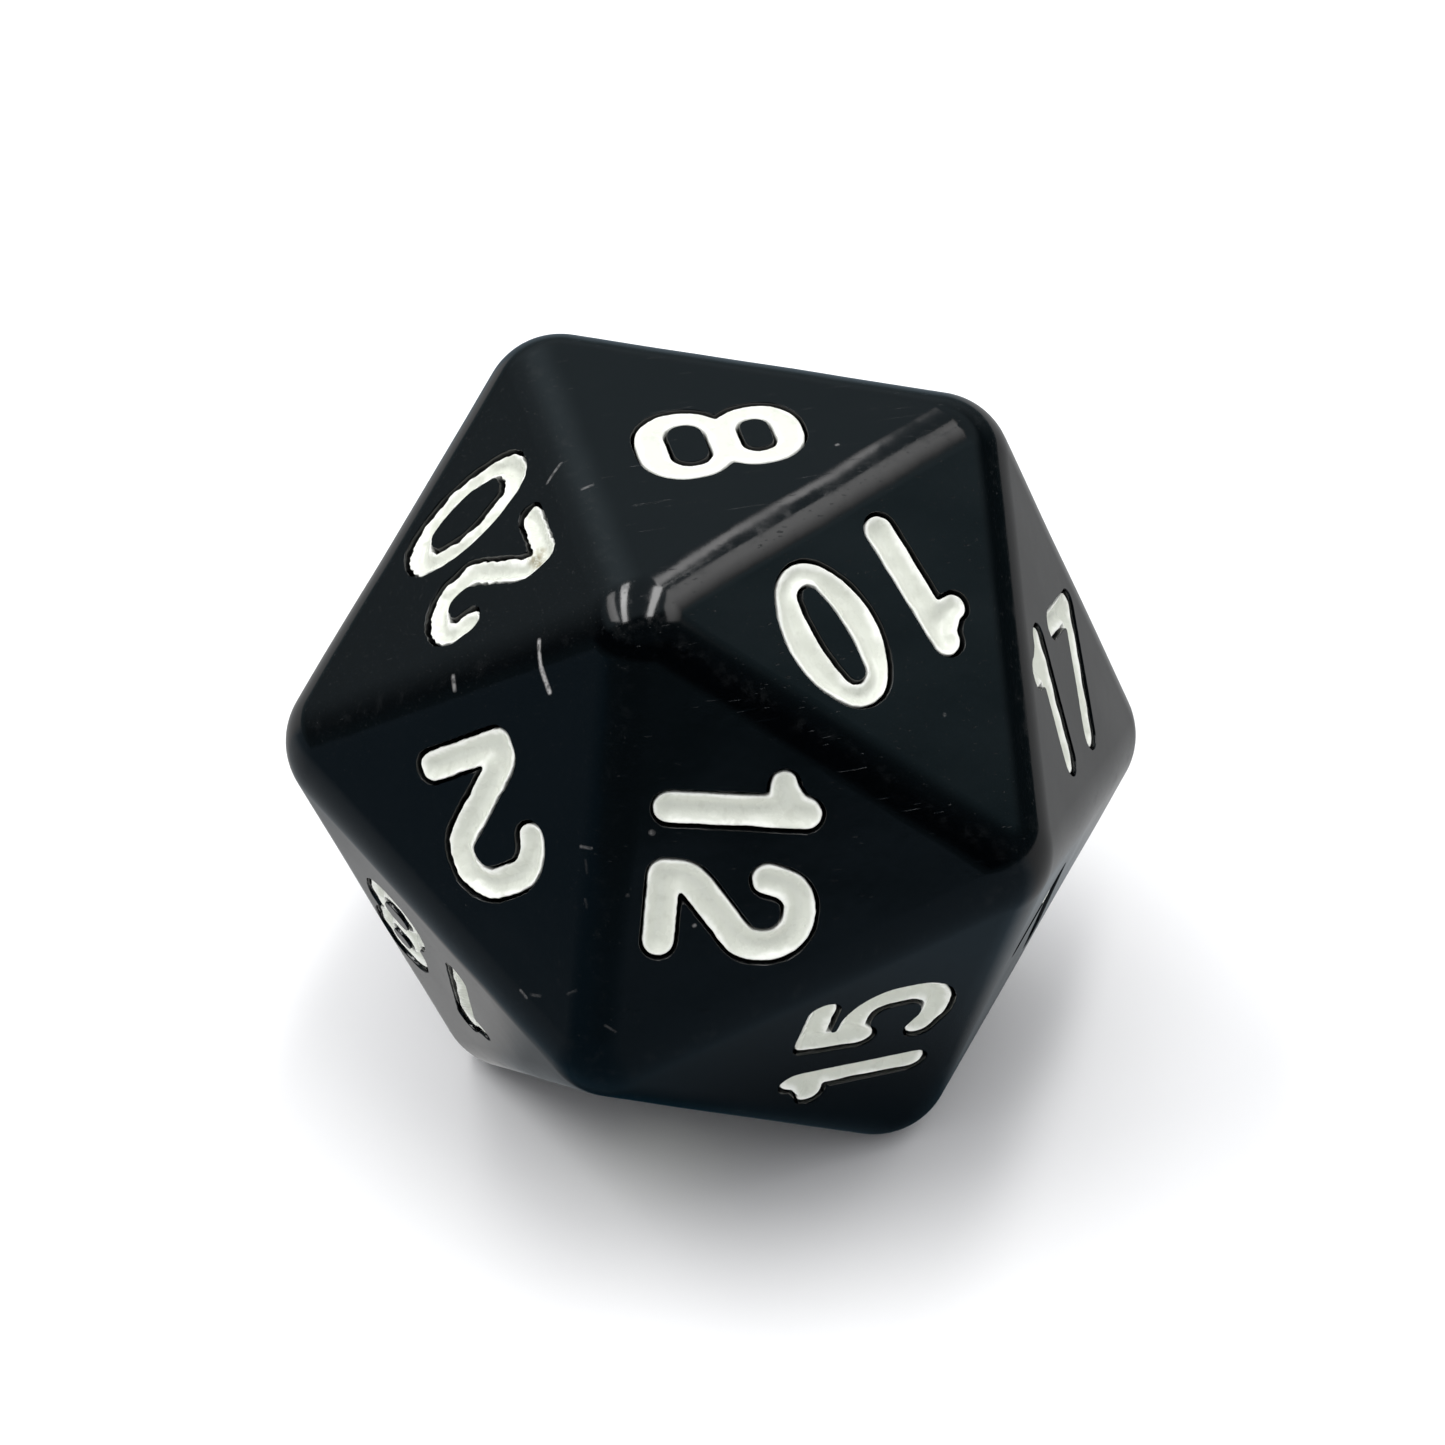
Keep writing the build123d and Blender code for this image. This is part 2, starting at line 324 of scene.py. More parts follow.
def level_loops(values, low, level, spacing):
    """Closed, evenly spaced loops along which a grid crosses a level."""
    g = values - level
    g = np.where(np.abs(g) < TINY, TINY, g)
    above = g > 0
    rows, columns = g.shape
    count = rows * columns
    cell = above[:-1, :-1].astype(int) + above[1:, :-1] + above[:-1, 1:] + above[1:, 1:]
    joined, spots = {}, {}

    def crossing(i, j, k, m):
        t = g[i, j] / (g[i, j] - g[k, m])
        return (low[0] + GRID * (i + t * (k - i)), low[1] + GRID * (j + t * (m - j)))

    for i, j in zip(*np.nonzero((cell > 0) & (cell < 4))):
        found = []
        for kind, x, y, k, m in (
            (0, i, j, i + 1, j),
            (1, i + 1, j, i + 1, j + 1),
            (0, i, j + 1, i + 1, j + 1),
            (1, i, j, i, j + 1),
        ):
            if above[x, y] != above[k, m]:
                name = kind * count + x * columns + y
                if name not in spots:
                    spots[name] = crossing(x, y, k, m)
                found.append(name)
        if len(found) == 4:  # a saddle: the middle says which of the four crossings join
            middle = g[i, j] + g[i + 1, j] + g[i, j + 1] + g[i + 1, j + 1] > 0
            if middle != above[i, j]:
                found = [found[0], found[3], found[1], found[2]]
        for a, b in zip(found[::2], found[1::2]):
            joined.setdefault(a, []).append(b)
            joined.setdefault(b, []).append(a)
    loops = []
    for loop in walk(joined):
        p = np.array([spots[name] for name in loop])
        closed = np.vstack([p, p[:1]])
        run = np.concatenate([[0], np.cumsum(np.linalg.norm(np.diff(closed, axis=0), axis=1))])
        if run[-1] < SHORTEST * spacing:
            continue
        at = np.linspace(0, run[-1], max(FEWEST, round(run[-1] / spacing)), endpoint=False)
        loops.append(np.stack([np.interp(at, run, closed[:, k]) for k in range(2)], axis=1))
    return loops


def lattice(low, high, step):
    """Points of a triangular lattice over a box."""
    rows = []
    for k, y in enumerate(np.arange(low[1], high[1], step * math.sqrt(0.75))):
        x = np.arange(low[0] + (k % 2) * step / 2, high[0], step)
        rows.append(np.stack([x, np.full(len(x), y)], axis=1))
    return np.vstack(rows)


SAME_PLACE = 1e-7  # mm
NO_AREA = 1e-9  # mm2


def doubled_areas(points, tris):
    """Twice each flat triangle's area, below zero where it is clockwise."""
    a, b, c = (points[tris[:, i]] for i in range(3))
    return (b - a)[:, 0] * (c - a)[:, 1] - (b - a)[:, 1] * (c - a)[:, 0]


def triangulate(points, loops):
    """Triangles that keep to loops, which are closed runs of indices into points.

    Gives the points as they came out, the triangles, and which point each one was, or -1.
    """
    edges = [(loop[i], loop[(i + 1) % len(loop)]) for loop in loops for i in range(len(loop))]
    made, _, faces, origin, _, _ = delaunay_2d_cdt(
        [Vector(p) for p in points.tolist()], edges, [], 0, SAME_PLACE
    )
    made = np.array([tuple(v) for v in made])
    faces = np.array([f for f in faces if len(f) == 3])
    area = doubled_areas(made, faces)
    faces = faces[np.abs(area) > NO_AREA]
    area = area[np.abs(area) > NO_AREA]
    faces = np.where((area < 0)[:, None], faces[:, ::-1], faces)
    first = np.array([o[0] if o else -1 for o in origin])
    return made, faces, first


# ---------------------------------------------------------------- the body
# a groove's lip: distance outside the outline, height over the face (here below it), steepness
LIP = (
    (0.088, 0.0, 0.0),
    (0.074, -0.008, 1.0),
    (0.062, -0.030, 3.0),
    (0.054, -0.07, 7.0),
    (0.048, -0.13, 12.0),
    (0.018, -FLOOR_DEPTH, 16.0),
)
LOOP_SPACING = 0.07  # mm along a loop round a number
LIP_REACH = 0.25  # from a number to the nearest of the face's other points
FACE_STEP = 0.42  # mm between points on the flat of a face
ROW_TURN = 3.5  # degrees round the edge from one row of points to the next
SIDE_ROWS = 6  # rows along each side, of those that go round a corner
CORNER_TURN = 38  # degrees, just past a corner's pole
CORNER_SPACING = 0.12
CORNER_STEPS = 4  # or more, round a corner
INSET = 0.993  # of the face's outline, which has points of its own
CLOSEST = 0.05  # mm, two of a face's points nearer than this are one
SLIVER = 1e-4  # mm2, twice the area of a triangle that is only a line
LIP_SEED = 100
LIP_WANDERS = (1.9, 1.1, 0.7, 0.45, 0.31, 0.2)  # mm
# how ragged a number's outline is, in mm
RAGGED = {20: 0.018, 2: 0.010, 18: 0.010}
USUAL_RAGGED = 0.006


def lip_height(distance):
    """Height over the face at a distance from a number's outline."""
    outward = LIP[::-1]
    return np.interp(distance, [row[0] for row in outward], [row[1] for row in outward])


def rounding_points(facet):
    """Sample points over the rounded margin of a face."""
    rows = []
    turns = np.radians(np.arange(0, CORNER_TURN, ROW_TURN))
    for i in range(3):
        a, b = facet.inner[i], facet.inner[(i + 1) % 3]
        side = (b - a) / np.linalg.norm(b - a)
        outward = np.array([side[1], -side[0]])
        outward *= np.sign(outward @ (a + b))
        for turn in turns[:SIDE_ROWS]:
            reach = EDGE_RADIUS * math.sin(turn)
            for k in range(RUN_STEPS + 1):
                rows.append(a + (b - a) * k / RUN_STEPS + outward * reach)
        before = facet.inner[(i + 2) % 3]
        other = (a - before) / np.linalg.norm(a - before)
        left = np.array([other[1], -other[0]])
        left *= np.sign(left @ (a + before))
        start = math.atan2(left[1], left[0])
        sweep = (math.atan2(outward[1], outward[0]) - start + math.pi) % (2 * math.pi) - math.pi
        for turn in turns[1:]:
            reach = EDGE_RADIUS * math.sin(turn)
            steps = max(CORNER_STEPS, round(abs(sweep) * reach / CORNER_SPACING))
            for k in range(1, steps):
                angle = start + sweep * k / steps
                rows.append(a + reach * np.array([math.cos(angle), math.sin(angle)]))
    return np.array(rows)


def body_patch(number, field):
    """A face from ridge to ridge, with its number cut in.

    Gives points, normals, triangles and, for every point, how far round the edge it is.
    """
    facet = FACETS[number]
    names = facet.names
    border = np.vstack([ridge(names[i], names[(i + 1) % 3])[:-1] for i in range(3)])
    border_uv = facet.to_plane(border)[:, :2]
    amount = RAGGED.get(number, USUAL_RAGGED)
    ragged = amount * ripple(field.points, LIP_SEED + number, LIP_WANDERS)
    total = len(border)
    points, loops = [border_uv], [list(range(total))]
    heights, steep = [0.0] * total, [0.0] * total
    for distance, z, slope in LIP:
        for loop in level_loops(field.values + ragged, field.low, distance, LOOP_SPACING):
            points.append(loop)
            loops.append(list(range(total, total + len(loop))))
            total += len(loop)
            heights += [z] * len(loop)
            steep += [slope] * len(loop)
    flat = lattice(facet.inner.min(axis=0), facet.inner.max(axis=0), FACE_STEP)
    fill = np.vstack([rounding_points(facet), flat])
    fill = fill[field.at(fill) > LIP_REACH]
    fill = fill[inside_loops(fill, [border_uv * INSET])]
    keep, seen = [], set()
    for p in fill:
        spot = (round(p[0] / CLOSEST), round(p[1] / CLOSEST))
        if spot not in seen:
            seen.add(spot)
            keep.append(p)
    points.append(np.array(keep))
    heights += [0.0] * len(keep)
    steep += [0.0] * len(keep)
    uv, tris, first = triangulate(np.vstack(points), loops)
    heights, steep = np.array(heights), np.array(steep)
    on_border = (first >= 0) & (first < len(border))
    # the outline's straight runs have flat slivers just outside them
    sliver = on_border[tris].all(axis=1) & (doubled_areas(uv, tris) < SLIVER)
    tris = tris[~sliver]
    known = first >= 0
    z = np.where(known, heights[first], lip_height(field.at(uv)))
    slope = np.where(known, steep[first], 0)
    height, lean, turn = facet.base(uv)
    lean = lean + slope[:, None] * field.slope(uv)
    local = np.column_stack([uv, height + z])
    normal = np.column_stack([-lean, np.ones(len(uv))])
    normal /= np.linalg.norm(normal, axis=1)[:, None]
    where = facet.to_die(local)
    where[on_border] = border[first[on_border]]
    return where, facet.turn(normal), tris, (turn / EDGE_TURN)[:, None]


# slow waves of the polished surface: size and depth in mm.  A seed gives directions and phases
WAVE_SEED = 5
WAVES = ((7.0, 0.006), (5.0, 0.005), (3.6, 0.0035), (2.4, 0.002), (1.7, 0.001))
WAVE_MIDDLE = sum(amount for _, amount in WAVES)  # the waved surface's usual depth


def waves(points):
    """Depth of the surface's slow waves, always inward, and its slope."""
    rng = np.random.default_rng(WAVE_SEED)
    depth, slope = 0, 0
    for size, amount in WAVES:
        way = rng.normal(size=3)
        way *= 2 * math.pi / size / np.linalg.norm(way)
        phase = points @ way + rng.uniform(0, 2 * math.pi)
        depth = depth + amount * (1 + np.sin(phase))
        slope = slope + amount * np.cos(phase)[:, None] * way
    return depth, slope


def wavy(points, normals):
    """The points sunk along their normals by the waves, and the normals to match."""
    depth, slope = waves(points)
    across = slope - (slope * normals).sum(axis=1)[:, None] * normals
    tilted = normals + across
    return points - depth[:, None] * normals, tilted / np.linalg.norm(tilted, axis=1)[:, None]


PLACES = 4  # decimals of a mm
OFF_ROUND = 0.000037  # keeps shared places clear of where rounding turns


def merged(parts):
    """Patches as one mesh, with the places they share joined where they round alike."""
    points = np.vstack([p[0] for p in parts])
    normals = np.vstack([p[1] for p in parts])
    turns = np.vstack([p[3] for p in parts])
    shift, tris = 0, []
    for p in parts:
        tris.append(p[2] + shift)
        shift += len(p[0])
    tris = np.vstack(tris)
    keys, same = np.unique(np.round(points + OFF_ROUND, PLACES), axis=0, return_inverse=True)
    same = same.ravel()
    times = np.bincount(same)
    out = [np.zeros((len(keys), values.shape[1])) for values in (points, normals, turns)]
    for total, values in zip(out, (points, normals, turns)):
        np.add.at(total, same, values)
        total /= times[:, None]
    points, normals, turns = out
    normals /= np.linalg.norm(normals, axis=1)[:, None]
    tris = same[tris]
    whole = (tris != np.roll(tris, 1, axis=1)).all(axis=1)
    return points, normals, tris[whole], turns[:, 0]


def add_mesh(name, points, tris, mark, values, normals=None):
    """A mesh object from points about the die's centre in mm, with a value named mark at each."""
    mesh = bpy.data.meshes.new(name)
    mesh.from_pydata(((points + CENTRE) * MM).tolist(), [], tris.tolist())
    mesh.polygons.foreach_set("use_smooth", np.ones(len(mesh.polygons), bool))
    attribute = mesh.attributes.new(mark, "FLOAT", "POINT")
    attribute.data.foreach_set("value", values.astype(np.float32))
    mesh.update()
    if normals is not None:
        mesh.normals_split_custom_set_from_vertices(normals.tolist())
    obj = bpy.data.objects.new(name, mesh)
    bpy.context.scene.collection.objects.link(obj)
    return obj


# ---------------------------------------------------------------- the paint
PAINT_LEVELS = (0.0, -0.014, -0.035, -0.075, -0.13, -0.2, -0.29, -0.38)
PAINT_GAP = 0.016  # between the paint and the outline, where the groove's wall shows dark
PAINT_RAGGED = {20: 0.032, 2: 0.016, 18: 0.02}
USUAL_PAINT_RAGGED = 0.008
PAINT_SEED, PAINT_WANDERS = 300, (1.3, 0.8, 0.5, 0.34, 0.23, 0.16)
SURFACE_SEED, SURFACE_WANDERS = 500, (3.1, 1.7, 1.1, 0.8)
PAINT_STEP = 0.16  # mm between points away from the paint's edge
PAINT_FILL = -0.1  # the nearest of them to the edge
PAINT_BOTTOM = -0.44
SKIN = 0.004  # paint above the resin it laps onto
FULL = 8  # the number that is filled almost to the face


def pool_height(number, inward, wobble):
    """Height of a paint pool's surface over the face, by distance inward from its edge."""
    bead = 0.05 * np.exp(-inward / 0.012)  # the paint's rounded brim
    if number == FULL:
        swell = 0.032 * (1 - np.exp(-inward / 0.12))
        return swell - 0.05 + 0.006 * wobble - bead
    climb = 0.33 * np.exp(-((inward / 0.30) ** 1.6))  # up the groove's walls
    return climb - 0.41 + 0.014 * wobble - bead


def pool(number, field):
    """A number's paint as one closed mesh: points, triangles, distances in from the edge."""
    facet = FACETS[number]
    amount = PAINT_RAGGED.get(number, USUAL_PAINT_RAGGED)
    edge = ripple(field.points, PAINT_SEED + number, PAINT_WANDERS)
    values = field.values + PAINT_GAP + amount * edge
    points, loops, total = [], [], 0
    for level in PAINT_LEVELS:
        for loop in level_loops(values, field.low, level, LOOP_SPACING):
            points.append(loop)
            loops.append(list(range(total, total + len(loop))))
            total += len(loop)
        if level == 0.0:
            rim, rim_loops = total, list(loops)
    fill = lattice(field.low, field.low + GRID * np.array(values.shape), PAINT_STEP)
    fill = fill[field.at(fill, values) < PAINT_FILL]
    points.append(fill)
    points = np.vstack(points)
    uv, tris, first = triangulate(points, loops)
    outline = [points[loop] for loop in rim_loops]
    tris = tris[inside_loops(uv[tris].mean(axis=1), outline)]
    inward = np.maximum(0, -field.at(uv, values))
    inward[(first >= 0) & (first < rim)] = 0
    wobble = ripple(uv, SURFACE_SEED + number, SURFACE_WANDERS)
    over = lip_height(field.at(uv)) + SKIN
    z = np.maximum(pool_height(number, inward, wobble), over)
    height, _, _ = facet.base(uv)
    used, new = np.unique(tris, return_inverse=True)
    tris = new.reshape(-1, 3)
    top = np.column_stack([uv, height + z])[used]
    place = {int(f): i for i, f in enumerate(first[used]) if 0 <= f < rim}
    base_uv, base_tris, base_first = triangulate(points[:rim], rim_loops)
    base_tris = base_tris[inside_loops(base_uv[base_tris].mean(axis=1), outline)]
    base_height, _, _ = facet.base(base_uv)
    bottom = np.column_stack([base_uv, base_height + PAINT_BOTTOM])
    under = {int(f): i + len(top) for i, f in enumerate(base_first) if f >= 0}
    sides = []
    for loop in rim_loops:
        for i, a in enumerate(loop):
            b = loop[(i + 1) % len(loop)]
            sides += [(place[a], under[a], under[b]), (place[a], under[b], place[b])]
    tris = np.vstack([tris, base_tris[:, ::-1] + len(top), np.array(sides)])
    inward = np.concatenate([inward[used], np.zeros(len(bottom))])
    return facet.to_die(np.vstack([top, bottom])), tris, inward


def outward_sides(points, tris):
    """Turns every triangle of a closed mesh to face outward."""
    mesh = bpy.data.meshes.new("turned")
    mesh.from_pydata(points.tolist(), [], tris.tolist())
    made = bmesh.new()
    made.from_mesh(mesh)
    bmesh.ops.recalc_face_normals(made, faces=made.faces)
    result = np.array([[v.index for v in f.verts] for f in made.faces])
    made.free()
    bpy.data.meshes.remove(mesh)
    return result


# ---------------------------------------------------------------- node materials
class Graph:
    """Short names for building a node tree."""

    def __init__(self, tree):
        self.tree = tree
        self.tree.nodes.clear()

    def node(self, kind, **values):
        made = self.tree.nodes.new("ShaderNode" + kind)
        for key, value in values.items():
            setattr(made, key, value)
        return made

    def link(self, a, b):
        self.tree.links.new(a, b)

    def give(self, socket, value):
        if isinstance(value, bpy.types.NodeSocket):
            self.link(value, socket)
        else:
            socket.default_value = value

    def math(self, operation, a, b=0.0, c=0.0, clamp=False):
        made = self.node("Math", operation=operation, use_clamp=clamp)
        for socket, value in zip(made.inputs, (a, b, c)):
            self.give(socket, value)
        return made.outputs[0]

    def span(self, value, low, high, to_low=0.0, to_high=1.0):
        """value's run from low to high, spread smoothly over to_low to to_high."""
        made = self.node("MapRange", clamp=True, interpolation_type="SMOOTHSTEP")
        ends = {"From Min": low, "From Max": high, "To Min": to_low, "To Max": to_high}
        for key, v in {"Value": value, **ends}.items():
            self.give(made.inputs[key], v)
        return made.outputs[0]

    def along(self, vector, way):
        """How far a vector runs in a direction."""
        made = self.node("VectorMath", operation="DOT_PRODUCT")
        self.link(vector, made.inputs[0])
        made.inputs[1].default_value = way
        return made.outputs["Value"]

    def mix(self, factor, a, b):
        made = self.node("Mix", data_type="RGBA")
        sockets = [i for i in made.inputs if i.type == "RGBA"]
        self.give(made.inputs["Factor"], factor)
        self.give(sockets[0], a)
        self.give(sockets[1], b)
        return next(o for o in made.outputs if o.type == "RGBA")

    def colour(self, red, green, blue):
        made = self.node("CombineColor")
        for socket, value in zip(made.inputs, (red, green, blue)):
            self.give(socket, value)
        return made.outputs[0]

    def glow(self, kind, colour, strength=1.0):
        """An Emission or Background shader."""
        made = self.node(kind)
        self.give(made.inputs["Color"], colour)
        self.give(made.inputs["Strength"], strength)
        return made.outputs[0]

    def either(self, choice, a, b):
        """Shader a where choice is 0, and b where it is 1."""
        made = self.node("MixShader")
        self.link(choice, made.inputs[0])
        self.link(a, made.inputs[1])
        self.link(b, made.inputs[2])
        return made.outputs[0]


SOLID = 0.6  # of a speck's radius, out to where its rim begins to fade
FADE_FROM, FADE_TO = 0.1, 0.7  # of a streak's width, from its middle line


class Nodes(Graph):
    """A material's nodes, round one Principled shader."""

    def __init__(self, name):
        self.material = bpy.data.materials.new(name)
        self.material.use_nodes = True
        super().__init__(self.material.node_tree)
        self.output = self.node("OutputMaterial")
        self.shader = self.node("BsdfPrincipled")
        self.link(self.shader.outputs[0], self.output.inputs["Surface"])
        self.coordinates = self.node("TexCoord").outputs["Object"]

    def scaled(self, scale, turn=(0, 0, 0)):
        """Object coordinates in mm, times scale."""
        made = self.node("Mapping")
        made.inputs["Scale"].default_value = [v / MM for v in scale]
        made.inputs["Rotation"].default_value = [math.radians(v) for v in turn]
        self.link(self.coordinates, made.inputs["Vector"])
        return made.outputs[0]

    def noise(self, scale, detail=2.0, roughness=0.5, turn=(0, 0, 0), shift=0.0):
        made = self.node("TexNoise", noise_dimensions="4D")
        scale = scale if isinstance(scale, tuple) else (scale,) * 3
        self.link(self.scaled(scale, turn), made.inputs["Vector"])
        made.inputs["W"].default_value = shift
        made.inputs["Scale"].default_value = 1.0
        made.inputs["Detail"].default_value = detail
        made.inputs["Roughness"].default_value = roughness
        return made.outputs["Fac"]

    def specks(self, scale, radius, share, shift=0.0):
        """Small dots with soft rims, in a share of the cells of a Voronoi pattern."""
        made = self.node("TexVoronoi", voronoi_dimensions="4D")
        self.link(self.scaled((scale,) * 3), made.inputs["Vector"])
        made.inputs["W"].default_value = shift
        made.inputs["Scale"].default_value = 1.0
        split = self.node("SeparateColor")
        self.link(made.outputs["Color"], split.inputs[0])
        dot = self.span(made.outputs["Distance"], radius * SOLID, radius, 1.0, 0.0)
        chosen = self.math("LESS_THAN", split.outputs[0], share)
        return self.math("MULTIPLY", dot, chosen)

    def streak(self, number, start, end, width, depth):
        """A soft line between two places on a number's face, depth mm below its surface."""
        facet = FACETS[number]
        ends = np.array([start, end])
        ends = facet.to_die(np.column_stack([ends, facet.base(ends)[0] - depth])) + CENTRE
        start, end = (Vector(p) * MM for p in ends.tolist())
        run = end - start
        rel = self.node("VectorMath", operation="SUBTRACT")
        self.link(self.coordinates, rel.inputs[0])
        rel.inputs[1].default_value = start
        t = self.math("ADD", self.along(rel.outputs[0], run / run.length_squared), 0.0, clamp=True)
        part = self.node("VectorMath", operation="SCALE")
        part.inputs[0].default_value = run
        self.link(t, part.inputs["Scale"])
        gap = self.node("VectorMath", operation="DISTANCE")
        self.link(rel.outputs[0], gap.inputs[0])
        self.link(part.outputs[0], gap.inputs[1])
        fade = (width * FADE_FROM * MM, width * FADE_TO * MM)
        return self.span(gap.outputs["Value"], *fade, 1.0, 0.0)

    def value_at(self, name):
        """A value that a mesh holds at its points."""
        return self.node("Attribute", attribute_name=name).outputs["Fac"]

    def bump(self, height, distance, strength=1.0, after=None):
        made = self.node("Bump")
        made.inputs["Strength"].default_value = strength
        made.inputs["Distance"].default_value = distance * MM
        self.link(height, made.inputs["Height"])
        if after is not None:
            self.link(after, made.inputs["Normal"])
        return made.outputs[0]

    def set(self, **values):
        for key, value in values.items():
            self.give(self.shader.inputs[key.replace("_", " ")], value)


def grey(value, warm=0.0):
    return (value * (1 + warm), value, value * (1 - warm), 1.0)


# lint, dust and small scratches: face, start and end on it in mm, width, brightness
LINT = (
    (2, (-3.39, -3.87), (-3.30, -3.17), 0.13, 0.34),
    (2, (-3.30, -3.17), (-3.30, -2.53), 0.15, 0.38),
    (2, (-0.26, -3.76), (-0.25, -3.42), 0.14, 0.20),
    (20, (0.02, -2.96), (0.36, -3.52), 0.10, 0.14),
    (8, (1.08, -3.73), (1.08, -3.46), 0.10, 0.11),
    (8, (1.05, 3.09), (1.05, 3.13), 0.11, 0.14),
    (10, (0.02, 2.65), (0.04, 2.66), 0.10, 0.05),
    (2, (-2.62, 1.47), (-2.92, 1.60), 0.09, 0.08),
    (2, (-2.61, 1.85), (-2.52, 2.15), 0.09, 0.015),
    (2, (-2.16, 2.80), (-2.12, 3.00), 0.09, 0.020),
    (2, (0.94, 4.53), (0.84, 4.75), 0.09, 0.09),
    (2, (0.65, 4.72), (0.36, 4.82), 0.09, 0.035),
    (2, (-0.55, 4.98), (-0.86, 4.96), 0.08, 0.025),
    (12, (4.66, -3.45), (4.80, -3.18), 0.08, 0.025),
    (12, (-0.71, -2.69), (-0.70, -2.67), 0.15, 0.14),
    (12, (1.77, -1.37), (1.78, -1.38), 0.11, 0.14),
    (12, (1.05, -3.18), (1.03, -3.16), 0.11, 0.03),
)

BLACK = (0.0005, 0.0008, 0.0012, 1.0)
WORN_BLACK = (0.006, 0.0065, 0.007, 1.0)
SCRATCH_TURNS = ((20, 35, 10), (75, -20, 50), (-40, 60, 110))
SCRATCH_SHIFT = 3.1


def resin_material():
    """Tumbled black resin: glossy, faintly hazed, scuffed along its ridges, a little dusty."""
    m = Nodes("black_resin")
    edge = m.value_at("turn")
    haze = m.noise(0.5, 3.0, 0.6)
    fine = m.noise(9.0, 4.0, 0.7)
    scratches = None
    for k, turn in enumerate(SCRATCH_TURNS):
        line = m.noise((0.35, 14.0, 14.0), 2.0, 0.5, turn, SCRATCH_SHIFT * k)
        thin = m.span(line, 0.70, 0.74)
        scratches = thin if scratches is None else m.math("MAXIMUM", scratches, thin)
    blotches = m.span(m.noise(2.2, 4.0, 0.65), 0.5, 0.66)
    worn = m.math("MULTIPLY", m.span(edge, 0.45, 0.95), blotches)
    pits = m.span(m.noise(11.0, 3.0, 0.7), 0.68, 0.75)
    nicks = m.math("MULTIPLY", m.span(edge, 0.8, 1.0), pits)
    larger, smaller = m.specks(1.1, 0.03, 0.04), m.specks(2.3, 0.035, 0.02, 4.0)
    dust = m.math("MAXIMUM", larger, smaller, clamp=True)
    base = m.mix(m.math("MULTIPLY", worn, 0.5), BLACK, WORN_BLACK)
    base = m.mix(m.math("MULTIPLY", nicks, 0.6), base, grey(0.022, 0.02))
    base = m.mix(dust, base, grey(0.05, 0.03))
    broken = m.span(fine, 0.40, 0.56, 0.3, 1.0)
    for number, start, end, width, tone in LINT:
        spot = m.math("MULTIPLY", m.streak(number, start, end, width, WAVE_MIDDLE), broken)
        base = m.mix(spot, base, grey(tone, 0.02))
    rough = m.span(haze, 0.3, 0.7, 0.07, 0.13)
    rough = m.math("ADD", rough, m.math("MULTIPLY", worn, 0.10))
    rough = m.math("ADD", rough, m.math("MULTIPLY", nicks, 0.25))
    rough = m.math("ADD", rough, m.math("MULTIPLY", scratches, 0.12))
    rough = m.math("MAXIMUM", rough, m.math("MULTIPLY", dust, 0.8), clamp=True)
    peel = m.bump(m.noise(0.9, 2.0, 0.5, shift=7.0), 0.006)
    grain = m.bump(fine, 0.0006, after=peel)
    cut = m.bump(m.math("MULTIPLY", m.math("ADD", scratches, nicks), -1.0), 0.004, after=grain)
    m.set(Base_Color=base, Roughness=rough, Normal=cut, IOR=1.5)
    return m.material


IVORY = (0.68, 0.70, 0.62, 1.0)
FLECK = (0.16, 0.11, 0.07, 1.0)
STAIN = (0.30, 0.26, 0.16, 1.0)
# the rims' paler tone is a painted highlight, the lamps' light on the paint's sloping edge
RIM_HIGHLIGHT_IVORY = (0.90, 0.91, 0.85, 1.0)
SHADED_IVORY = (0.56, 0.575, 0.50, 1.0)
# brown stains in the 2 of 20: start, end, width, strength
STAINS = (
    ((-2.15, -1.78), (-1.92, -1.72), 0.42, 0.8),
    ((-1.88, -1.95), (-1.80, -2.0), 0.34, 0.6),
)
STAIN_DEPTH = 0.25  # of the paint there, below the face
UNEVEN = 0.55  # mm, how far the pale rims wander in and out


def paint_material():
    """Satin ivory paint laid by hand: paler at its rims in a painted highlight, mottled, a little
    granular.
    """
    m = Nodes("ivory_paint")
    cloud = m.noise(0.9, 3.0, 0.6)
    blotch = m.noise(2.4, 3.0, 0.65, shift=2.0)
    grain = m.noise(10.0, 3.0, 0.65)
    # distance in from the edge, made uneven
    inward = m.math("ADD", m.value_at("inward"), -UNEVEN / 2)
    inward = m.math("MULTIPLY_ADD", cloud, UNEVEN, inward)
    # painted highlight: the paint is paler near its edge, as if the lamps lit its sloping rim
    tone = m.mix(m.span(inward, 0.03, 0.17), RIM_HIGHLIGHT_IVORY, IVORY)
    tone = m.mix(m.span(blotch, 0.52, 0.7, 0, 0.5), tone, SHADED_IVORY)
    tone = m.mix(m.span(grain, 0.56, 0.74, 0, 0.35), tone, SHADED_IVORY)
    tone = m.mix(m.specks(1.3, 0.05, 0.04), tone, FLECK)
    for start, end, width, amount in STAINS:
        spot = m.streak(20, start, end, width, STAIN_DEPTH)
        spot = m.math("MULTIPLY", spot, m.span(grain, 0.35, 0.55, 0, amount))
        tone = m.mix(spot, tone, STAIN)
    rough = m.span(cloud, 0.3, 0.7, 0.17, 0.30)
    bump = m.bump(grain, 0.005, after=m.bump(blotch, 0.012))
    m.set(Base_Color=tone, Roughness=rough, Normal=bump, IOR=1.5)
    return m.material


# ---------------------------------------------------------------- the pieces
fields = {n: Field(cap_loops(n)) for n in sorted(FACES)}
points, normals, tris, turns = merged([body_patch(n, fields[n]) for n in sorted(FACES)])
points, normals = wavy(points, normals)
body = add_mesh("resin_body", points, tris, "turn", turns, normals)
body.data.materials.append(resin_material())
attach(body, "root")
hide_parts("die_body")

